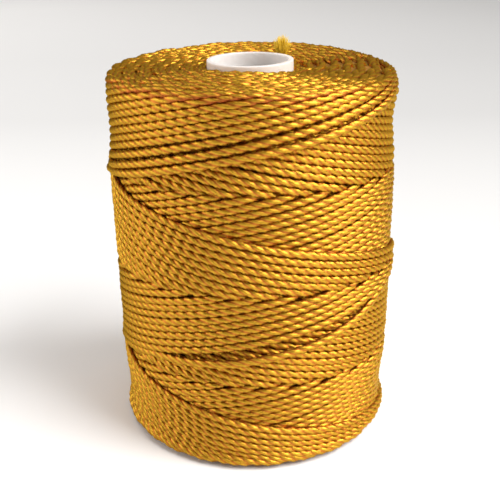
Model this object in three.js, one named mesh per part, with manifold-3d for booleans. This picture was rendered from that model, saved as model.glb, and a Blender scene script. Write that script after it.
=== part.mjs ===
// A small bobbin of twisted nylon beading cord, standing on its end.
// One length of cord is cross-wound in slanting bands on a plain plastic tube,
// and its frayed inner end stands up beside the tube, on the top of the winding.
// Millimetres, +Z up. The origin is on the table, under the middle of the tube.
import * as THREE from 'three';
import { mergeVertices } from 'three/addons/utils/BufferGeometryUtils.js';
import Module from 'manifold-3d';

const wasm = await Module();
wasm.setup();

// The cord and the gap that keeps neighbouring pieces apart
const CORD_DIAMETER = 0.85;
const GAP = 0.3;

// The plastic tube
const CORE_HEIGHT = 43.4;
const CORE_OUTER_RADIUS = 4.85;
const CORE_BORE_RADIUS = 4.25;
const CORE_EDGE = 0.1;
const CORE_SIDES = 48;

// The winding: its height, its radius at both ends, the swell between them and the fuller ring
// under its top
const WINDING_TOP = 42.75;
const TOP_WAVE = 0.2;
const WINDING_RADIUS = 16;
const SIDE_SWELL = 0.42;
const SWELL_STARTS = 4;
const SWELL_IS_FULL = 10;
const SWELL_EASES = 31;
const SWELL_ENDS = 38;
const FOOT_ROUNDING = 0.8;
const SHOULDER_ROUNDING = 1.2;
const SHOULDER_BULGE = 0.3;
const SHOULDER_BULGE_HEIGHT = 40.3;
const SHOULDER_BULGE_REACH = 1.6;

// The slanting bands: the cord climbs and falls one pitch a turn, and the last
// turn laid in each direction stands proud of the older ones beside it
const HELIX_PITCH = 22;
const LAST_RISING_HEIGHT = 15.3;
const LAST_FALLING_HEIGHT = 27.05;
const BAND_STEP = 0.45;
const BAND_TURNS = 18;
const TURN_RELIEF = 0.13;
const END_FADE = 2.5;

// The surface is a net of diamonds whose edges run along the rising and the falling cord,
// with a ridge line and a groove line for each turn of a band. A point that lies on the
// newest line within rounding counts as newest.
const AROUND = 2 * BAND_TURNS;
const ROW_RISE = HELIX_PITCH / (2 * AROUND);
const CORNER_ROWS = 4;
const ON_THE_LINE = 1e-6;

// The frayed inner end of the cord
const END_X = 3.75;
const END_Y = 4.25;
const STUB_HEIGHT = 0.75;
const STUB_SIDES = 10;
const STUB_FILL = 0.6;
const LOCK_COUNT = 26;
const LOCK_LENGTH = 1.75;
const OUTER_LOCK_SHORTER = 0.35;
const LOCK_WIDTH = 0.3;
const LOCK_TIP_WIDTH = 0.075;
const LOCK_SPREAD = 0.62;
const LOCK_SIDES = 3;
const LOCK_STEPS = 4;
const GOLDEN_ANGLE = Math.PI * (3 - Math.sqrt(5));

const TAU = 2 * Math.PI;
const QUARTER_TURN = 0.25;
const MERGE_DISTANCE = 1e-5;

const finishes = {
  cord: { color: 0xc98a1c, roughness: 0.45, metalness: 0.1 },
  core: { color: 0xf1efec, roughness: 0.4, metalness: 0 },
  frayedEnd: { color: 0xcfa63a, roughness: 0.6, metalness: 0 },
};

function namedMesh(name, geometry, finish) {
  const mesh = new THREE.Mesh(geometry, new THREE.MeshStandardMaterial(finish));
  mesh.name = name;
  return mesh;
}

function solidOf(geometry) {
  const bare = geometry.clone();
  bare.deleteAttribute('normal');
  bare.deleteAttribute('uv');
  const merged = mergeVertices(bare, MERGE_DISTANCE);
  const shape = new wasm.Mesh({
    numProp: 3,
    vertProperties: new Float32Array(merged.attributes.position.array),
    triVerts: new Uint32Array(merged.index.array),
  });
  return new wasm.Manifold(shape);
}

function geometryOf(solid) {
  const shape = solid.getMesh();
  const geometry = new THREE.BufferGeometry();
  geometry.setAttribute('position', new THREE.BufferAttribute(shape.vertProperties, 3));
  geometry.setIndex(new THREE.BufferAttribute(shape.triVerts, 1));
  geometry.computeVertexNormals();
  return geometry;
}

// A surface of rows that run all the way round, each row turned half a step from the one
// before. The last row joins the first, so the surface has no end and needs no cap.
function netGeometry(rows, steps, firstAngle) {
  const positions = [];
  const faces = [];
  rows.forEach((row, j) => {
    for (let i = 0; i < steps; i += 1) {
      positions.push(...row(firstAngle + (TAU * (i + (j % 2) / 2)) / steps));
    }
  });
  for (let j = 0; j < rows.length; j += 1) {
    const here = j * steps;
    const above = ((j + 1) % rows.length) * steps;
    for (let i = 0; i < steps; i += 1) {
      const next = (i + 1) % steps;
      if (j % 2 === 0) {
        faces.push(here + i, here + next, above + i);
        faces.push(here + next, above + next, above + i);
      } else {
        faces.push(here + i, here + next, above + next);
        faces.push(here + i, above + next, above + i);
      }
    }
  }
  const geometry = new THREE.BufferGeometry();
  geometry.setAttribute('position', new THREE.Float32BufferAttribute(positions, 3));
  geometry.setIndex(faces);
  geometry.computeVertexNormals();
  return geometry;
}

// The tube is a plain ring with its four edges eased, on a lathe turned to stand along Z.
function coreGeometry() {
  const inner = CORE_BORE_RADIUS;
  const outer = CORE_OUTER_RADIUS;
  const profile = [
    new THREE.Vector2(inner + CORE_EDGE, 0),
    new THREE.Vector2(outer - CORE_EDGE, 0),
    new THREE.Vector2(outer, CORE_EDGE),
    new THREE.Vector2(outer, CORE_HEIGHT - CORE_EDGE),
    new THREE.Vector2(outer - CORE_EDGE, CORE_HEIGHT),
    new THREE.Vector2(inner + CORE_EDGE, CORE_HEIGHT),
    new THREE.Vector2(inner, CORE_HEIGHT - CORE_EDGE),
    new THREE.Vector2(inner, CORE_EDGE),
    new THREE.Vector2(inner + CORE_EDGE, 0),
  ];
  const geometry = new THREE.LatheGeometry(profile, CORE_SIDES);
  geometry.rotateX(Math.PI / 2);
  return geometry;
}

// How long ago a cord last passed, in covers of the whole side: 0 on the newest turn, rising
// to 1 just before the next pass. Rising turns are older the higher they lie, and falling
// turns are older the lower they lie.
function ageOf(covers) {
  const pastTheLine = covers + ON_THE_LINE;
  return pastTheLine - Math.floor(pastTheLine);
}

function risingAge(turnsFromFront, z) {
  return ageOf((z - LAST_RISING_HEIGHT) / HELIX_PITCH - turnsFromFront);
}

function fallingAge(turnsFromFront, z) {
  return ageOf((LAST_FALLING_HEIGHT - z) / HELIX_PITCH - turnsFromFront);
}

// One band's height: most on its newest turn, sinking with age, and climbing back within one
// line of the net where the newest turn lies beside the oldest.
function bandHeight(age) {
  const climb = Math.max(0, 1 - (1 - age) * AROUND);
  return 0.5 - age + climb;
}

function sideRelief(angle, z) {
  const turnsFromFront = angle / TAU + QUARTER_TURN;
  const rising = risingAge(turnsFromFront, z);
  const falling = fallingAge(turnsFromFront, z);
  const bands = BAND_STEP * (bandHeight(rising) + bandHeight(falling));
  const turns = TURN_RELIEF * Math.cos(TAU * BAND_TURNS * Math.min(rising, falling));
  const fade = Math.min(1, z / END_FADE, (WINDING_TOP - z) / END_FADE);
  return (bands + turns) * Math.max(0, fade);
}

// How far the side stands out beyond its radius at the ends
function bulgeAt(z) {
  const swell = THREE.MathUtils.smoothstep(z, SWELL_STARTS, SWELL_IS_FULL)
    * (1 - THREE.MathUtils.smoothstep(z, SWELL_EASES, SWELL_ENDS));
  const distance = (z - SHOULDER_BULGE_HEIGHT) / SHOULDER_BULGE_REACH;
  return SIDE_SWELL * swell + SHOULDER_BULGE * Math.exp(-distance * distance);
}

// The wound cord as one solid: a flat foot, a rounded lower edge, a side ridged and stepped
// in slanting bands, a full shoulder and a top that lies a little higher at front and back.
function windingGeometry() {
  const rows = [];
  const addRow = (radiusAt, heightAt) => {
    rows.push((angle) => {
      const radius = radiusAt(angle);
      return [radius * Math.cos(angle), radius * Math.sin(angle), heightAt(angle)];
    });
  };
  const innerRadius = CORE_OUTER_RADIUS + GAP;
  const topAt = (angle) => WINDING_TOP - TOP_WAVE * Math.cos(2 * angle);

  // The newest rising and falling turns cross here, and the net is counted from that point.
  // Rows come in pairs, because the net closes only on an even number of them.
  const crossing = (LAST_RISING_HEIGHT + LAST_FALLING_HEIGHT) / 2;
  const crossingAngle = TAU * ((crossing - LAST_RISING_HEIGHT) / HELIX_PITCH - QUARTER_TURN);
  const sideTop = WINDING_TOP - SHOULDER_ROUNDING;
  const lowestRow = Math.ceil((FOOT_ROUNDING - crossing) / ROW_RISE);
  const rowPairs = Math.floor(((sideTop - crossing) / ROW_RISE - lowestRow) / 2);
  const halfSteps = lowestRow + CORNER_ROWS;

  for (let k = 0; k < CORNER_ROWS; k += 1) {
    const corner = (k / CORNER_ROWS) * (Math.PI / 2);
    const radius = WINDING_RADIUS - FOOT_ROUNDING * (1 - Math.sin(corner));
    const height = FOOT_ROUNDING * (1 - Math.cos(corner));
    addRow((angle) => radius + sideRelief(angle, height), () => height);
  }
  for (let n = lowestRow; n < lowestRow + 2 * rowPairs; n += 1) {
    const height = crossing + n * ROW_RISE;
    addRow((angle) => WINDING_RADIUS + bulgeAt(height) + sideRelief(angle, height), () => height);
  }
  for (let k = 1; k <= CORNER_ROWS; k += 1) {
    const corner = (k / CORNER_ROWS) * (Math.PI / 2);
    const drawnIn = SHOULDER_ROUNDING * (1 - Math.cos(corner));
    const drop = SHOULDER_ROUNDING * (1 - Math.sin(corner));
    addRow(
      (angle) => WINDING_RADIUS + bulgeAt(sideTop) - drawnIn + sideRelief(angle, WINDING_TOP - drop),
      (angle) => topAt(angle) - drop,
    );
  }
  addRow(() => innerRadius, topAt);
  addRow(() => innerRadius, () => 0);
  return netGeometry(rows, AROUND, crossingAngle + (TAU * halfSteps) / (2 * AROUND));
}

// One frayed lock: a thin tapering strand that leans outwards as it rises.
function lockGeometry(root, direction, lean, length) {
  const positions = [];
  const faces = [];
  for (let s = 0; s <= LOCK_STEPS; s += 1) {
    const along = s / LOCK_STEPS;
    const reach = lean * along * along;
    const width = (LOCK_WIDTH + (LOCK_TIP_WIDTH - LOCK_WIDTH) * along) / 2;
    for (let side = 0; side < LOCK_SIDES; side += 1) {
      const corner = direction + (TAU * side) / LOCK_SIDES;
      positions.push(
        root.x + reach * Math.cos(direction) + width * Math.cos(corner),
        root.y + reach * Math.sin(direction) + width * Math.sin(corner),
        root.z + length * along,
      );
    }
  }
  for (let s = 0; s < LOCK_STEPS; s += 1) {
    for (let side = 0; side < LOCK_SIDES; side += 1) {
      const a = s * LOCK_SIDES + side;
      const b = s * LOCK_SIDES + ((side + 1) % LOCK_SIDES);
      faces.push(a, b, b + LOCK_SIDES, a, b + LOCK_SIDES, a + LOCK_SIDES);
    }
  }
  const tip = LOCK_STEPS * LOCK_SIDES;
  faces.push(0, 2, 1, tip, tip + 1, tip + 2);
  const geometry = new THREE.BufferGeometry();
  geometry.setAttribute('position', new THREE.Float32BufferAttribute(positions, 3));
  geometry.setIndex(faces);
  return geometry;
}

// The inner end of the cord: a short upright stub beside the tube whose plies have come
// apart into locks, their roots fused in the stub.
function cordEndGeometry() {
  const radius = CORD_DIAMETER / 2;
  const foot = WINDING_TOP + GAP;
  const profile = [
    new THREE.Vector2(0, 0),
    new THREE.Vector2(radius, 0),
    new THREE.Vector2(radius, STUB_HEIGHT),
    new THREE.Vector2(0, STUB_HEIGHT),
  ];
  const stub = new THREE.LatheGeometry(profile, STUB_SIDES);
  stub.rotateX(Math.PI / 2);
  stub.translate(END_X, END_Y, foot);
  let end = solidOf(stub);
  for (let n = 0; n < LOCK_COUNT; n += 1) {
    const direction = n * GOLDEN_ANGLE;
    const outward = Math.sqrt((n + 0.5) / LOCK_COUNT);
    const root = new THREE.Vector3(
      END_X + outward * STUB_FILL * radius * Math.cos(direction),
      END_Y + outward * STUB_FILL * radius * Math.sin(direction),
      foot + STUB_HEIGHT / 2,
    );
    const lean = LOCK_SPREAD * outward;
    const length = LOCK_LENGTH * (1 - OUTER_LOCK_SHORTER * outward * outward);
    end = end.add(solidOf(lockGeometry(root, direction, lean, length)));
  }
  return geometryOf(end);
}

const bobbin = new THREE.Group();
bobbin.add(namedMesh('core', coreGeometry(), finishes.core));
bobbin.add(namedMesh('winding', windingGeometry(), finishes.cord));
bobbin.add(namedMesh('cord_end', cordEndGeometry(), finishes.frayedEnd));

export default bobbin;
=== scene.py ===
import math
import bmesh
import bpy
import numpy as np
from mathutils import Matrix, Vector


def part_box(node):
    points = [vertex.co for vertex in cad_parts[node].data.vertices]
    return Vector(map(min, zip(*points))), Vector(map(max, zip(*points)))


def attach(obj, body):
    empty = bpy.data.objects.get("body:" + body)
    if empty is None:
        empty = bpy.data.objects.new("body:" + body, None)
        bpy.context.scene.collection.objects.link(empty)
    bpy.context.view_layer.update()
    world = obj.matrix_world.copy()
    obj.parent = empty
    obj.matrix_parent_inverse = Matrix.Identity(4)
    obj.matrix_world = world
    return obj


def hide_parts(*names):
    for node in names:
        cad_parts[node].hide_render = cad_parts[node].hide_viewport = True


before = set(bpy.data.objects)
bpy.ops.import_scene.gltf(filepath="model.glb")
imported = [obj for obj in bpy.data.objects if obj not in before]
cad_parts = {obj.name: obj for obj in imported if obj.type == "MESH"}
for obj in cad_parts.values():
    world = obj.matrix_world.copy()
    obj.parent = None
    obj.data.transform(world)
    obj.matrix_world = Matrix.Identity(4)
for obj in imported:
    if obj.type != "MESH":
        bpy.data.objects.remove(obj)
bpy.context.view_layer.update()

# The core is a plain tube of milky white plastic, sawn from extruded stock.
# The cord is wound straight on it, and it stands a little proud of the winding at the top.
# Its edges are only just broken, and its bore is left open for the winder's spindle.
MM = 0.001
core_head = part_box("core")[1]
CORE_RADIUS = core_head.x / MM
CORE_HEIGHT = core_head.z / MM
CORE_BORE = 4.25
CORE_EDGE = 0.1
CORE_EDGE_STEPS = 4
CORE_SEGMENTS = 128
CORE_WHITE = (0.66, 0.625, 0.60, 1)
CORE_GREY = (0.635, 0.60, 0.575, 1)
CORE_CLOUDS_A_METRE = 260
CORE_GRAINS_A_METRE = 2600
CORE_GRAIN_DEPTH = 0.05 * MM


def mesh_piece(name, points, faces):
    mesh = bpy.data.meshes.new(name)
    mesh.from_pydata([tuple(MM * c for c in p) for p in points], [], faces)
    shell = bmesh.new()
    shell.from_mesh(mesh)
    bmesh.ops.recalc_face_normals(shell, faces=shell.faces)
    shell.to_mesh(mesh)
    shell.free()
    mesh.shade_smooth()
    piece = bpy.data.objects.new(name, mesh)
    bpy.context.scene.collection.objects.link(piece)
    return piece


def turned(name, outline, segments):
    points = []
    for radius, height in outline:
        for k in range(segments):
            angle = 2 * math.pi * k / segments
            points.append((radius * math.cos(angle), radius * math.sin(angle), height))
    faces = []
    rows = len(outline)
    for i in range(rows):
        here = i * segments
        above = (i + 1) % rows * segments
        for k in range(segments):
            beside = (k + 1) % segments
            faces.append((here + k, here + beside, above + beside, above + k))
    return mesh_piece(name, points, faces)


def broken_edge(radius, height, out, up, edge, steps):
    corner = []
    for i in range(steps + 1):
        angle = 0.5 * math.pi * i / steps
        inward = out * edge * (1 - math.cos(angle))
        lower = up * edge * (1 - math.sin(angle))
        corner.append((radius - inward, height - lower))
    return corner


def new_material(name):
    material = bpy.data.materials.new(name)
    material.use_nodes = True
    tree = material.node_tree
    return material, tree, tree.nodes["Principled BSDF"]


def noise(tree, place, scale, detail=2):
    pattern = tree.nodes.new("ShaderNodeTexNoise")
    pattern.inputs["Scale"].default_value = scale
    pattern.inputs["Detail"].default_value = detail
    tree.links.new(place, pattern.inputs["Vector"])
    return pattern.outputs["Fac"]


def toned(tree, pattern, stops):
    ramp = tree.nodes.new("ShaderNodeValToRGB")
    elements = ramp.color_ramp.elements
    elements[0].position, elements[0].color = stops[0]
    elements[1].position, elements[1].color = stops[-1]
    for position, colour in stops[1:-1]:
        elements.new(position).color = colour
    tree.links.new(pattern, ramp.inputs["Fac"])
    return ramp.outputs["Color"]


def bumped(tree, surface, pattern, strength, distance):
    bump = tree.nodes.new("ShaderNodeBump")
    bump.inputs["Strength"].default_value = strength
    bump.inputs["Distance"].default_value = distance
    tree.links.new(pattern, bump.inputs["Height"])
    tree.links.new(bump.outputs["Normal"], surface.inputs["Normal"])


def core_outline():
    outer_top = broken_edge(CORE_RADIUS, CORE_HEIGHT, 1, 1, CORE_EDGE, CORE_EDGE_STEPS)
    inner_top = broken_edge(CORE_BORE, CORE_HEIGHT, -1, 1, CORE_EDGE, CORE_EDGE_STEPS)[::-1]
    inner_foot = broken_edge(CORE_BORE, 0, -1, -1, CORE_EDGE, CORE_EDGE_STEPS)
    outer_foot = broken_edge(CORE_RADIUS, 0, 1, -1, CORE_EDGE, CORE_EDGE_STEPS)[::-1]
    return outer_top + inner_top + inner_foot + outer_foot


def core_plastic():
    material, tree, surface = new_material("core_plastic")
    place = tree.nodes.new("ShaderNodeTexCoord").outputs["Object"]
    cloud = noise(tree, place, CORE_CLOUDS_A_METRE, detail=3)
    tint = toned(tree, cloud, ((0.35, CORE_GREY), (0.7, CORE_WHITE)))
    tree.links.new(tint, surface.inputs["Base Color"])
    grain = noise(tree, place, CORE_GRAINS_A_METRE)
    rough = tree.nodes.new("ShaderNodeMapRange")
    rough.inputs["To Min"].default_value = 0.34
    rough.inputs["To Max"].default_value = 0.5
    tree.links.new(grain, rough.inputs["Value"])
    tree.links.new(rough.outputs["Result"], surface.inputs["Roughness"])
    bumped(tree, surface, grain, 0.12, CORE_GRAIN_DEPTH)
    surface.inputs["Subsurface Weight"].default_value = 0.6
    surface.inputs["Subsurface Radius"].default_value = (1, 0.9, 0.85)
    surface.inputs["Subsurface Scale"].default_value = 0.001
    return material


core_tube = turned("core_tube", core_outline(), CORE_SEGMENTS)
core_tube.data.materials.append(core_plastic())
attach(core_tube, "root")
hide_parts("core")

# The winding is one length of golden nylon cord, three plies twisted together.
# A winder lays it in steep strokes, two turns up and two turns down, each double stroke
# starting a little later round the bobbin, until seven covers lie on the core.
CORD_RADIUS = 0.425
PITCH = 21.9
COVERS = 7
DOUBLE_STROKES = 181
TURNS_A_DOUBLE = 4
SHIFT = COVERS / DOUBLE_STROKES
STROKE = (TURNS_A_DOUBLE + SHIFT) / 2
LAST_RISING = 15.3
LAST_FALLING = 27.05
FOOT_CORNER = (LAST_RISING + LAST_FALLING) / 2 - PITCH
HEAD_CORNER = FOOT_CORNER + PITCH * STROKE
WINDING_HEIGHT = 42.7
FOOT_LEVEL = 0.85
HEAD_LEVEL = 42.53
FOOT_BEND = FOOT_LEVEL - FOOT_CORNER
HEAD_BEND = HEAD_CORNER - HEAD_LEVEL
HEAD_WAVE = 0.2
SIDE_WAVE = 0.3
WAVES_A_TURN = 2
WAVE_CREST = -0.02
WAVE_HEIGHTS = (2, 8, 36, 42)
TAIL_TURN = 0.1
REVERSAL_JITTER = 0.0015
REVERSAL_LIMIT = 0.006
CORNER_JITTER = 0.1
CORNER_REACH = 2.5
WANDER = 0.03
WANDERS_A_TURN = 5
WANDER_FOOT = 1.5
WANDER_HEAD = 41
WANDER_FADE = 2
COLUMNS = 720
CREST_RADIUS = 16.1
LAYER = 0.8
RELIEF = 0.45
RELIEF_HEAD = 42
RELIEF_FADE = 3
SOFTENING = 1.0
SOFTENING_PASSES = 2
RIPPLE = 0.04
STROKE_JITTER = 0.03
SLACK_SOFTENING = 8
SLACK_LIFT = 0.35
SLACK_LIFTED_BY = 0.5
SWELL = 0.42
SWELL_FOOT = (4, 10)
SWELL_HEAD = (31, 38)
SWELL_ASKEW = 0.25
HEAD_LEAN = 0.12
HEAD_LEAN_HEIGHTS = (34, 41)
FOOT_PROUD = 0.4
FOOT_PROUD_REACH = (0.9, 2.1)
HEAD_ROUND = 0.35
HEAD_ROUND_REACH = 1.6
SHOULDER_HEIGHT = 40.2
SHOULDER_REACH = 1.6
SHOULDER_PROUD = 0.5
SHOULDER_EVEN = 0.2
SHOULDER_TURN = 0.26
SHOULDER_SPAN = 0.12
CORE_CLEARANCE = 0.02
ROUNDING = 1e-9
draw = np.random.default_rng(7)

# A few of the newest turns hang slack across the front. Each row: double strokes back,
# then the degrees round where the slack starts, is full, eases and ends, then its drop.
LOOSE_TURNS = (
    (0, -42, -8, 24, 58, 1.2),
    (0, 265, 305, 385, 440, 0.5),
    (1, 260, 290, 350, 400, 0.3),
    (2, 270, 290, 330, 380, 0.15),
    (5, 10, 30, 50, 80, 0.25),
)


def lay_cord():
    reversals = np.arange(2 * DOUBLE_STROKES + 3)
    last_foot = (FOOT_CORNER - LAST_RISING) / PITCH
    turn_of = last_foot + (reversals - 2 * DOUBLE_STROKES) * STROKE
    early_or_late = draw.normal(0, REVERSAL_JITTER, len(reversals))
    turn_of = turn_of + np.clip(early_or_late, -REVERSAL_LIMIT, REVERSAL_LIMIT)
    slack = np.abs(draw.normal(0, CORNER_JITTER, len(reversals)))
    first = math.ceil(turn_of[0] * COLUMNS)
    last = math.floor((last_foot + STROKE + TAIL_TURN) * COLUMNS)
    turn = np.arange(first, last) / COLUMNS
    stroke = np.searchsorted(turn_of, turn, side="right") - 1
    rising = stroke % 2 == 0
    foot = np.where(rising, stroke, stroke + 1)
    head = np.where(rising, stroke + 1, stroke)
    from_foot = np.abs(turn - turn_of[foot])
    from_head = np.abs(turn_of[head] - turn)
    low = FOOT_CORNER + np.hypot(PITCH * from_foot, FOOT_BEND)
    high = HEAD_CORNER - np.hypot(PITCH * from_head, HEAD_BEND)
    share = from_foot / (from_foot + from_head)
    height = (1 - share) * low + share * high
    wave = np.interp(height, WAVE_HEIGHTS, (0, SIDE_WAVE, SIDE_WAVE, HEAD_WAVE))
    height += wave * np.cos(2 * np.pi * WAVES_A_TURN * (turn - WAVE_CREST))
    height -= np.sin(2 * np.pi * turn) * np.interp(height, HEAD_LEAN_HEIGHTS, (0, HEAD_LEAN))
    height += slack[foot] * np.exp(-PITCH * from_foot / CORNER_REACH)
    height -= slack[head] * np.exp(-PITCH * from_head / CORNER_REACH)
    knots = draw.normal(0, WANDER, int((turn[-1] - turn[0]) * WANDERS_A_TURN) + 3)
    place = (turn - turn[0]) * WANDERS_A_TURN
    inside = np.clip(np.minimum(height - WANDER_FOOT, WANDER_HEAD - height) / WANDER_FADE, 0, 1)
    height = height + inside * np.interp(place, np.arange(len(knots)), knots)
    drop = np.zeros(len(turn))
    for back, starts, full, eases, ends, depth in LOOSE_TURNS:
        here = stroke == 2 * (DOUBLE_STROKES - back)
        degrees = 360 * (turn + TURNS_A_DOUBLE * back)
        sag = np.interp(degrees, (starts, full, eases, ends), (0, depth, depth, 0))
        drop += np.where(here, sag, 0)
    drop = smooth_along(drop, SLACK_SOFTENING)
    return turn, height - drop, stroke, drop


def side_ages(turn, height):
    flat = height - SIDE_WAVE * np.cos(2 * np.pi * WAVES_A_TURN * (turn - WAVE_CREST))
    rising_age = ((flat - LAST_RISING) / PITCH - turn) % 1
    falling_age = ((LAST_FALLING - flat) / PITCH - turn) % 1
    return rising_age, falling_age


def smooth_step(value, start, end):
    share = np.clip((value - start) / (end - start), 0, 1)
    return share * share * (3 - 2 * share)


def smooth_along(values, reach):
    half = max(1, int(round(reach)))
    total = np.concatenate(([0], np.cumsum(np.pad(values, half, mode="edge"))))
    return (total[2 * half + 1:] - total[:-2 * half - 1]) / (2 * half + 1)


def cord_radii(turn, height, stroke, drop):
    rising_age, falling_age = side_ages(turn, height)
    rising = stroke % 2 == 0
    age = np.maximum((2 * DOUBLE_STROKES - stroke) / 2, 0) * SHIFT
    own_age = np.where(rising, age, np.maximum(age - SHIFT / 2, 0)) + ROUNDING
    own_layers = np.floor(own_age)
    own_share = own_age - own_layers
    other = np.where(rising, falling_age + SHIFT / 2, rising_age)
    other_layers = np.maximum(np.floor(age - other) + 1, 0)
    fade = np.clip(np.minimum(height, RELIEF_HEAD - height) / RELIEF_FADE, 0, 1)
    surface = CREST_RADIUS + RELIEF * fade * (1 - own_share - np.where(rising, falling_age, rising_age))
    round_shoulder = ((turn - SHOULDER_TURN + 0.5) % 1 - 0.5) / SHOULDER_SPAN
    shoulder = np.exp(-((height - SHOULDER_HEIGHT) / SHOULDER_REACH) ** 2)
    fuller_here = SHOULDER_EVEN + (1 - SHOULDER_EVEN) * np.exp(-round_shoulder ** 2)
    surface += SHOULDER_PROUD * shoulder * fuller_here
    swell = smooth_step(height, *SWELL_FOOT) * (1 - smooth_step(height, *SWELL_HEAD))
    surface += SWELL * swell * (1 + SWELL_ASKEW * np.sin(2 * np.pi * turn))
    surface += SLACK_LIFT * np.clip(drop / SLACK_LIFTED_BY, 0, 1)
    jitter = draw.normal(0, STROKE_JITTER, stroke[-1] + 1)[stroke]
    ripple = RIPPLE * np.cos(2 * np.pi * other / SHIFT)
    radius = surface - CORD_RADIUS - LAYER * (own_layers + other_layers) + ripple * fade + jitter
    radius += FOOT_PROUD * (1 - smooth_step(height, *FOOT_PROUD_REACH))
    radius -= HEAD_ROUND * np.clip(1 - (WINDING_HEIGHT - height) / HEAD_ROUND_REACH, 0, 1) ** 2
    radius = np.maximum(radius, CORE_RADIUS + CORD_RADIUS + CORE_CLEARANCE)
    for _ in range(SOFTENING_PASSES):
        radius = smooth_along(radius, SOFTENING * COLUMNS / (2 * math.pi * CREST_RADIUS))
    return radius


turn, height, stroke, drop = lay_cord()
radius = cord_radii(turn, height, stroke, drop)

# What shows of the cord: the outer turns all round and the bends on both ends.
# The rest lies buried under them and isn't made. Which turns show is found by looking
# along the winding from the side all round, and straight at its head and its foot.
CELL = 0.1
CORD_CELLS = int(CORD_RADIUS / CELL)
LOWEST = -1.5
HEIGHT_ROWS = 470
HALF_GRID = 17.5
GRID = int(2 * HALF_GRID / CELL)
NOTHING_THERE = -100.0
END_REACH = 4
RING_STEP = 0.42
SIDE_DEPTH = 0.28
SIDE_LOOKS = (-0.3, -0.15, 0, 0.15, 0.3)
END_DEPTH = 0.32
END_LOOK = 0.25
RUN_ON = 4
SHORTEST_RUN = 3


def side_profile(turn, height, radius):
    profile = np.full(COLUMNS * HEIGHT_ROWS, CORE_RADIUS)
    column = np.rint(turn * COLUMNS).astype(int) % COLUMNS
    middle = np.rint((height - LOWEST) / CELL).astype(int)
    for k in range(-CORD_CELLS, CORD_CELLS + 1):
        row = middle + k
        off = LOWEST + row * CELL - height
        reach = np.sqrt(np.maximum(CORD_RADIUS ** 2 - off ** 2, 0))
        value = np.where(np.abs(off) < CORD_RADIUS, radius + reach, 0)
        np.maximum.at(profile, column * HEIGHT_ROWS + row, value)
    return profile.reshape(COLUMNS, HEIGHT_ROWS)


def end_profile(x, y, rise):
    profile = np.full(GRID * GRID, NOTHING_THERE)
    near = rise > rise.max() - END_REACH
    x, y, rise = x[near], y[near], rise[near]
    cx = np.rint((x + HALF_GRID) / CELL).astype(int)
    cy = np.rint((y + HALF_GRID) / CELL).astype(int)
    for i in range(-CORD_CELLS, CORD_CELLS + 1):
        for j in range(-CORD_CELLS, CORD_CELLS + 1):
            if math.hypot(i, j) * CELL > CORD_RADIUS:
                continue
            dx = (cx + i) * CELL - HALF_GRID - x
            dy = (cy + j) * CELL - HALF_GRID - y
            reach = np.sqrt(np.maximum(CORD_RADIUS ** 2 - dx ** 2 - dy ** 2, 0))
            np.maximum.at(profile, (cx + i) * GRID + cy + j, rise + reach)
    return profile.reshape(GRID, GRID)


def shows_on_side(profile, turn, height, radius):
    column = np.rint(turn * COLUMNS).astype(int) % COLUMNS
    shows = np.zeros(len(turn), bool)
    for off in SIDE_LOOKS:
        row = np.rint((height + off - LOWEST) / CELL).astype(int)
        crest = radius + math.sqrt(CORD_RADIUS ** 2 - off ** 2)
        shows |= crest > profile[column, row] - SIDE_DEPTH
    return shows


def shows_on_end(profile, x, y, rise):
    shows = np.zeros(len(x), bool)
    for dx, dy in ((0, 0), (END_LOOK, 0), (-END_LOOK, 0), (0, END_LOOK), (0, -END_LOOK)):
        lift = math.sqrt(CORD_RADIUS ** 2 - dx ** 2 - dy ** 2)
        cx = np.rint((x + dx + HALF_GRID) / CELL).astype(int)
        cy = np.rint((y + dy + HALF_GRID) / CELL).astype(int)
        shows |= rise + lift > profile[cx, cy] - END_DEPTH
    return shows


def in_space(turn, height, radius):
    angle = 2 * np.pi * turn
    return np.stack((radius * np.sin(angle), -radius * np.cos(angle), height), axis=1)


fine = in_space(turn, height, radius)
length = np.concatenate(([0], np.cumsum(np.linalg.norm(np.diff(fine, axis=0), axis=1))))
side = side_profile(turn, height, radius)
head = end_profile(fine[:, 0], fine[:, 1], fine[:, 2])
foot = end_profile(fine[:, 0], fine[:, 1], -fine[:, 2])

along = np.arange(0, length[-1], RING_STEP)
ring_turn = np.interp(along, length, turn)
ring_height = np.interp(along, length, height)
ring_radius = np.interp(along, length, radius)
ring_stroke = stroke[np.searchsorted(length, along, side="right") - 1]
spot = in_space(ring_turn, ring_height, ring_radius)
shows = shows_on_side(side, ring_turn, ring_height, ring_radius)
shows |= shows_on_end(head, spot[:, 0], spot[:, 1], spot[:, 2])
shows |= shows_on_end(foot, spot[:, 0], spot[:, 1], -spot[:, 2])
shows = np.convolve(shows, np.ones(2 * RUN_ON + 1), mode="same") > 0
edges = np.flatnonzero(np.diff(np.concatenate(([0], shows.astype(int), [0]))))
runs = [(a, b) for a, b in zip(edges[::2], edges[1::2]) if b - a > SHORTEST_RUN]

# The plies: three round yarns twisted together to the right, so a cut cord is a clover leaf.
# Every run of cord that shows is one closed tube whose edges follow the twist. The nylon
# shines along its filaments. It is painted a darker, redder brown down in the grooves between
# the plies and on the sides of each turn that face into the gaps: painted shade.
PLY_OFFSET = 0.19
PLY_RADIUS = 0.245
FLATTENED = 0.93
SPREAD = 1.15
OVER_THE_HEAD = (41.3, 42.4)
UNDER_THE_FOOT = (0.1, 0.8)
LAY = 3.8
LOBE_POINTS = (-60, -40, 0, 40)
SECTION_POINTS = 3 * len(LOBE_POINTS)
HEAD_BENDS_FROM = 41.2
FOOT_BENDS_TO = 1.4
MIDDLE = 21.5
# Painted shade: the groove and flank colours are darker, redder browns that stand in for the shade between
# the plies and between the turns.
NYLON_GROOVE_SHADE = (0.47, 0.11, 0.022, 1)
NYLON_CREST = (0.575, 0.315, 0.025, 1)
NYLON_FLANK_SHADE = (0.42, 0.10, 0.021, 1)
STRAND_STRETCH = (0.7, 9, 9)
STRAND_DEPTH = 0.06 * MM


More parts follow.
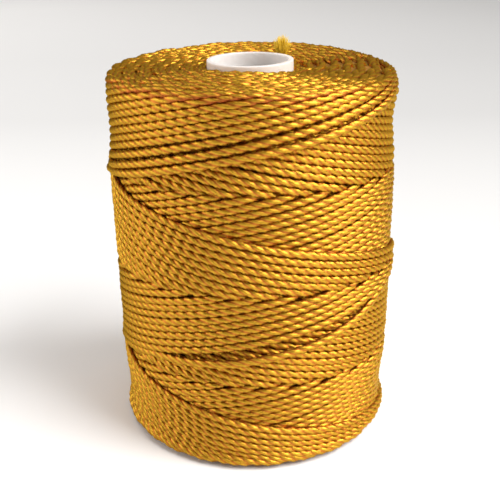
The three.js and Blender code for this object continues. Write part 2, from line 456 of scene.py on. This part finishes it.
def clover_section():
    lobe = np.radians(np.tile(LOBE_POINTS, 3))
    angle = lobe + np.repeat(np.arange(3), len(LOBE_POINTS)) * 2 * np.pi / 3
    radius = PLY_OFFSET * np.cos(lobe) + np.sqrt(PLY_RADIUS ** 2 - (PLY_OFFSET * np.sin(lobe)) ** 2)
    return angle, radius


def store(mesh, name, vectors):
    attribute = mesh.attributes.new(name, "FLOAT_VECTOR", "POINT")
    attribute.data.foreach_set("vector", vectors.astype(np.float32).ravel())


def twisted_cord(name, chosen):
    angle, section = clover_section()
    ring = np.concatenate([np.arange(a, b) for a, b in chosen])
    first = np.concatenate([np.full(b - a, a) for a, b in chosen])
    tone = np.concatenate([np.full(b - a, t) for (a, b), t in zip(chosen, draw.random(len(chosen)))])
    ahead = np.minimum(ring + 1, len(spot) - 1)
    behind = np.maximum(ring - 1, 0)
    tangent = spot[ahead] - spot[behind]
    tangent /= np.linalg.norm(tangent, axis=1)[:, None]
    turned_to = 2 * np.pi * ring_turn[ring]
    rise = ring_height[ring]
    upward = smooth_step(rise, *OVER_THE_HEAD) - 1 + smooth_step(rise, *UNDER_THE_FOOT)
    level = 1 - np.abs(upward)
    outward = np.stack((level * np.sin(turned_to), -level * np.cos(turned_to), upward), axis=1)
    outward -= tangent * (outward * tangent).sum(axis=1)[:, None]
    outward /= np.linalg.norm(outward, axis=1)[:, None]
    across = np.cross(tangent, outward)
    twist = 2 * np.pi * along[ring] / LAY
    around = angle[None, :] + twist[:, None]
    points = spot[ring][:, None, :] + section[None, :, None] * (
        FLATTENED * np.cos(around)[:, :, None] * outward[:, None, :]
        + SPREAD * np.sin(around)[:, :, None] * across[:, None, :])
    count = len(ring)
    index = np.arange(count * SECTION_POINTS).reshape(count, SECTION_POINTS)
    joined = np.flatnonzero(first[1:] == first[:-1])
    here = index[joined]
    there = index[joined + 1]
    beside_here = np.roll(here, -1, axis=1)
    beside_there = np.roll(there, -1, axis=1)
    quads = np.stack((here, beside_here, beside_there, there), axis=2).reshape(-1, 4)
    starts = np.flatnonzero(np.concatenate(([True], first[1:] != first[:-1])))
    ends = np.flatnonzero(np.concatenate((first[1:] != first[:-1], [True])))
    caps = np.concatenate((index[starts][:, ::-1], index[ends]))
    loops = np.concatenate((quads.ravel(), caps.ravel())).astype(np.int32)
    sizes = np.concatenate((np.full(len(quads), 4), np.full(len(caps), SECTION_POINTS)))
    mesh = bpy.data.meshes.new(name)
    mesh.vertices.add(count * SECTION_POINTS)
    mesh.vertices.foreach_set("co", (MM * points).astype(np.float32).ravel())
    mesh.loops.add(len(loops))
    mesh.loops.foreach_set("vertex_index", loops)
    mesh.polygons.add(len(sizes))
    mesh.polygons.foreach_set("loop_start", (np.cumsum(sizes) - sizes).astype(np.int32))
    mesh.update(calc_edges=True)
    mesh.shade_smooth()
    run_along = np.repeat(along[ring][:, None], SECTION_POINTS, axis=1)
    store(mesh, "fibre", np.stack((run_along, np.cos(around), np.sin(around)), axis=2))
    crest = (section - section.min()) / (section.max() - section.min())
    crests = np.repeat(crest[None, :], count, axis=0)
    tones = np.repeat(tone[:, None], SECTION_POINTS, axis=1)
    store(mesh, "shade", np.stack((crests, tones, 0 * tones), axis=2))
    store(mesh, "run", np.repeat(tangent[:, None, :], SECTION_POINTS, axis=1))
    piece = bpy.data.objects.new(name, mesh)
    bpy.context.scene.collection.objects.link(piece)
    return piece


def stored(tree, name):
    attribute = tree.nodes.new("ShaderNodeAttribute")
    attribute.attribute_name = name
    return attribute.outputs["Vector"]


def parts_of(tree, vector):
    split = tree.nodes.new("ShaderNodeSeparateXYZ")
    tree.links.new(vector, split.inputs["Vector"])
    return split.outputs


def stretched(tree, vector, by):
    stretch = tree.nodes.new("ShaderNodeVectorMath")
    stretch.operation = "MULTIPLY"
    stretch.inputs[1].default_value = by
    tree.links.new(vector, stretch.inputs[0])
    return stretch.outputs["Vector"]


def nylon():
    material, tree, surface = new_material("golden_nylon")
    crest = parts_of(tree, stored(tree, "shade"))["X"]
    # Painted shade: the colour darkens from the crest of each ply down into the groove.
    depth = toned(tree, crest, ((0.0, NYLON_GROOVE_SHADE), (0.75, NYLON_CREST)))
    fibre = stored(tree, "fibre")
    # Painted shade: the sides of each turn that face away from the outside, into the gaps, take the darker
    # flank colour.
    flank_shade = tree.nodes.new("ShaderNodeMapRange")
    flank_shade.inputs["From Min"].default_value = -0.3
    flank_shade.inputs["From Max"].default_value = 0.5
    tree.links.new(parts_of(tree, fibre)["Y"], flank_shade.inputs["Value"])
    colour = tree.nodes.new("ShaderNodeMix")
    colour.data_type = "RGBA"
    colour.inputs["A"].default_value = NYLON_FLANK_SHADE
    tree.links.new(flank_shade.outputs["Result"], colour.inputs["Factor"])
    tree.links.new(depth, colour.inputs["B"])
    tree.links.new(colour.outputs["Result"], surface.inputs["Base Color"])
    strands = noise(tree, stretched(tree, fibre, STRAND_STRETCH), 1)
    bumped(tree, surface, strands, 0.5, STRAND_DEPTH)
    tree.links.new(stored(tree, "run"), surface.inputs["Tangent"])
    surface.inputs["Anisotropic"].default_value = 0.5
    surface.inputs["Anisotropic Rotation"].default_value = 0.25
    surface.inputs["Metallic"].default_value = 0.76
    surface.inputs["IOR"].default_value = 1.5
    surface.inputs["Roughness"].default_value = 0.28
    surface.inputs["Specular Tint"].default_value = (1, 0.84, 0.3, 1)
    surface.inputs["Specular IOR Level"].default_value = 0.5
    return material


golden_nylon = nylon()


def place_of(run):
    a, b = run
    middle = spot[a:b, 2].mean()
    if middle > HEAD_BENDS_FROM:
        return "head_bends"
    if middle < FOOT_BENDS_TO:
        return "foot_bends"
    way = "rising" if ring_stroke[(a + b) // 2] % 2 == 0 else "falling"
    return way + ("_upper" if middle > MIDDLE else "_lower")


for name in ("head_bends", "foot_bends", "rising_upper", "rising_lower", "falling_upper", "falling_lower"):
    turns = twisted_cord("cord_" + name, [run for run in runs if place_of(run) == name])
    turns.data.materials.append(golden_nylon)
    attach(turns, "root")
    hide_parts("winding")

# Under the turns that show lie the older covers of the same cord, made as one plain turned solid.
# It is painted a dark brown, as painted shade, and is seen only in the gaps between the turns.
UNDER_RADIUS = 14.6
UNDER_FOOT = 1.4
UNDER_HEAD = 42.1
UNDER_BORE = CORE_RADIUS + 0.15
UNDER_SEGMENTS = 96
# Painted shade: the buried cord is coloured a dark brown for the shade it lies in.
BURIED_SHADE_DARK = (0.17, 0.075, 0.012, 1)
BURIED_SHADE_BROWN = (0.26, 0.12, 0.018, 1)
BURIED_CLOUDS_A_METRE = 1400


def buried_nylon():
    material, tree, surface = new_material("buried_nylon")
    place = tree.nodes.new("ShaderNodeTexCoord").outputs["Object"]
    cloud = noise(tree, place, BURIED_CLOUDS_A_METRE)
    # Painted shade: dark brown tones stand in for the shade under the outer turns.
    tone = toned(tree, cloud, ((0.35, BURIED_SHADE_DARK), (0.65, BURIED_SHADE_BROWN)))
    tree.links.new(tone, surface.inputs["Base Color"])
    surface.inputs["Roughness"].default_value = 0.8
    surface.inputs["Specular IOR Level"].default_value = 0.1
    return material


under_outline = [
    (UNDER_RADIUS, UNDER_FOOT),
    (UNDER_RADIUS, UNDER_HEAD),
    (UNDER_BORE, UNDER_HEAD),
    (UNDER_BORE, UNDER_FOOT),
]
under_winding = turned("under_winding", under_outline, UNDER_SEGMENTS)
under_winding.data.materials.append(buried_nylon())
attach(under_winding, "root")
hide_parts("winding")

# The inner end of the cord stands up beside the core, where the winding was started.
# It was cut, not sealed, so its filaments have sprung apart into a small pale tuft.
end_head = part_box("cord_end")[1]
END_X = 3.75
END_Y = 4.25
TUFT_FOOT = 42.4
FILAMENTS = 320
FILAMENT_STEPS = 6
FILAMENT_SIDES = 3
FILAMENT_RADIUS = 0.03
FILAMENT_TAPER = 0.5
FILAMENT_LENGTHS = (0.68, 1.0)
FILAMENT_SPREADS = (0.5, 1.5)
FILAMENT_STRAY = 0.09
FILAMENT_BOW = 0.05
FILAMENT_BEND = 1.6
TUFT_RADIUS = 0.45
TUFT_PROUD = 0.35
TUFT_HEIGHT = end_head.z / MM - TUFT_FOOT + TUFT_PROUD
TUFT_SPREAD = 0.5
RIM_SHORTER = 0.28
GOLDEN_ANGLE = math.pi * (3 - math.sqrt(5))
FILAMENT_GOLD = (0.66, 0.40, 0.02, 1)
FILAMENT_PALE = (0.88, 0.62, 0.05, 1)
FILAMENT_STREAKS = (9000, 9000, 700)


def tuft():
    points = []
    faces = []
    for i in range(FILAMENTS):
        ring = math.sqrt((i + 0.5) / FILAMENTS)
        angle = i * GOLDEN_ANGLE
        off = Vector((ring * math.cos(angle), ring * math.sin(angle), 0))
        reach = TUFT_HEIGHT * (1 - RIM_SHORTER * ring * ring) * draw.uniform(*FILAMENT_LENGTHS)
        lean = off * TUFT_SPREAD * draw.uniform(*FILAMENT_SPREADS)
        lean += Vector((draw.normal(0, FILAMENT_STRAY), draw.normal(0, FILAMENT_STRAY), 0))
        bow = Vector((draw.normal(0, FILAMENT_BOW), draw.normal(0, FILAMENT_BOW), 0))
        base = len(points)
        for k in range(FILAMENT_STEPS + 1):
            part = k / FILAMENT_STEPS
            centre = Vector((END_X, END_Y, TUFT_FOOT)) + off * TUFT_RADIUS
            centre += lean * part ** FILAMENT_BEND + bow * math.sin(math.pi * part)
            centre += Vector((0, 0, reach * part))
            width = FILAMENT_RADIUS * (1 - FILAMENT_TAPER * part)
            for j in range(FILAMENT_SIDES):
                turn_j = 2 * math.pi * j / FILAMENT_SIDES + angle
                points.append(centre + Vector((width * math.cos(turn_j), width * math.sin(turn_j), 0)))
        for k in range(FILAMENT_STEPS):
            for j in range(FILAMENT_SIDES):
                a = base + k * FILAMENT_SIDES + j
                b = base + k * FILAMENT_SIDES + (j + 1) % FILAMENT_SIDES
                faces.append((a, b, b + FILAMENT_SIDES, a + FILAMENT_SIDES))
        faces.append(tuple(base + j for j in range(FILAMENT_SIDES))[::-1])
        top = base + FILAMENT_STEPS * FILAMENT_SIDES
        faces.append(tuple(top + j for j in range(FILAMENT_SIDES)))
    return mesh_piece("frayed_end", points, faces)


def loose_filaments():
    material, tree, surface = new_material("loose_filaments")
    place = tree.nodes.new("ShaderNodeTexCoord").outputs["Object"]
    streaks = noise(tree, stretched(tree, place, FILAMENT_STREAKS), 1)
    tone = toned(tree, streaks, ((0.35, FILAMENT_GOLD), (0.65, FILAMENT_PALE)))
    tree.links.new(tone, surface.inputs["Base Color"])
    surface.inputs["Roughness"].default_value = 0.5
    surface.inputs["Specular IOR Level"].default_value = 0.25
    return material


frayed_end = tuft()
frayed_end.data.materials.append(loose_filaments())
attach(frayed_end, "root")
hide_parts("cord_end")

# The floor is one large sheet of plain pale board with a dull face. Its colour carries painted light
# and shade: it is whitest in front of the bobbin, painted greyer behind it and towards the right,
# and painted brighter towards the left. Each row of painted shade: metres behind the bobbin, then how
# white the board is there.
FLOOR_HALF = 3
BOARD_WHITE = (0.92, 0.925, 0.93, 1)
# Painted shade and light: the tones behind the bobbin and the left and right factors stand in for how the
# light falls across the board.
BOARD_SHADE_TONES = ((0.05, 0.69), (0.15, 0.58), (0.25, 0.62), (0.45, 0.78))
BOARD_SIDE = 0.15
BOARD_LEFT_LIGHT = 1.25
BOARD_RIGHT_SHADE = 0.75


def pale_board():
    material, tree, surface = new_material("white_board")
    place = parts_of(tree, tree.nodes.new("ShaderNodeTexCoord").outputs["Object"])
    behind = [(back, (tone, tone, tone, 1)) for back, tone in BOARD_SHADE_TONES]
    # Painted shade: the board is coloured greyer behind the bobbin.
    tone = toned(tree, place["Y"], [(0, BOARD_WHITE)] + behind)
    # Painted light and shade: the board is coloured brighter to the left and greyer to the right.
    side = tree.nodes.new("ShaderNodeMapRange")
    side.inputs["From Min"].default_value = -BOARD_SIDE
    side.inputs["From Max"].default_value = BOARD_SIDE
    side.inputs["To Min"].default_value = BOARD_LEFT_LIGHT
    side.inputs["To Max"].default_value = BOARD_RIGHT_SHADE
    tree.links.new(place["X"], side.inputs["Value"])
    shade = tree.nodes.new("ShaderNodeVectorMath")
    shade.operation = "SCALE"
    tree.links.new(tone, shade.inputs[0])
    tree.links.new(side.outputs["Result"], shade.inputs["Scale"])
    tree.links.new(shade.outputs["Vector"], surface.inputs["Base Color"])
    surface.inputs["Roughness"].default_value = 0.8
    return material


floor_mesh = bpy.data.meshes.new("floor")
floor_corners = [(FLOOR_HALF * x, FLOOR_HALF * y, 0) for x, y in ((-1, -1), (1, -1), (1, 1), (-1, 1))]
floor_mesh.from_pydata(floor_corners, [], [(0, 1, 2, 3)])
floor = bpy.data.objects.new("floor", floor_mesh)
bpy.context.scene.collection.objects.link(floor)
floor.data.materials.append(pale_board())

# The studio light is soft: a large panel at each side, the right one the stronger and a
# little in front, a third panel overhead, and a dim warm room all round.
# Each row: name, place, aim, width, height, power and colour.
LIGHT_PANELS = (
    ("left_panel", (-0.68, -0.02, 0.27), (0, 0, 0.02), 0.8, 0.35, 3.2, (1, 0.98, 0.96)),
    ("right_panel", (0.49, -0.18, 0.47), (0, 0, 0.02), 0.55, 0.55, 8.9, (1, 0.99, 0.98)),
    ("overhead_panel", (0, 0.05, 0.8), (0, 0, 0), 0.6, 0.6, 2.2, (1, 0.98, 0.96)),
)
ROOM_COLOUR = (1, 0.93, 0.86, 1)
ROOM_STRENGTH = 0.17


def soft_light(name, place, aim, width, tall, power, colour):
    lamp = bpy.data.lights.new(name, "AREA")
    lamp.shape = "RECTANGLE"
    lamp.size = width
    lamp.size_y = tall
    lamp.energy = power
    lamp.color = colour
    light = bpy.data.objects.new(name, lamp)
    light.location = place
    light.rotation_euler = (Vector(aim) - Vector(place)).to_track_quat("-Z", "Y").to_euler()
    bpy.context.scene.collection.objects.link(light)


for panel in LIGHT_PANELS:
    soft_light(*panel)
room = bpy.data.worlds.new("room")
bpy.context.scene.world = room
room.use_nodes = True
room.node_tree.nodes["Background"].inputs["Color"].default_value = ROOM_COLOUR
room.node_tree.nodes["Background"].inputs["Strength"].default_value = ROOM_STRENGTH
bpy.context.scene.view_settings.view_transform = "Standard"

# The camera stands a hand's breadth in front of the bobbin, a little higher than its top,
# and looks down on it at the photograph's angle.
CAMERA_PLACE = (-0.000375, -0.0914, 0.0592)
CAMERA_PITCH = math.radians(23.07)
CAMERA_ROLL = math.radians(1.003)
CAMERA_LENS = 58.4
CAMERA_FILM = 36
CAMERA_NEAREST = 0.001
lens = bpy.data.cameras.new("camera")
lens.sensor_width = CAMERA_FILM
lens.lens = CAMERA_LENS
lens.clip_start = CAMERA_NEAREST
camera = bpy.data.objects.new("camera", lens)
looks_down = Matrix.Rotation(math.pi / 2 - CAMERA_PITCH, 4, "X")
leans = Matrix.Rotation(-CAMERA_ROLL, 4, "Z")
camera.matrix_world = Matrix.Translation(CAMERA_PLACE) @ looks_down @ leans
bpy.context.scene.collection.objects.link(camera)
bpy.context.scene.camera = camera
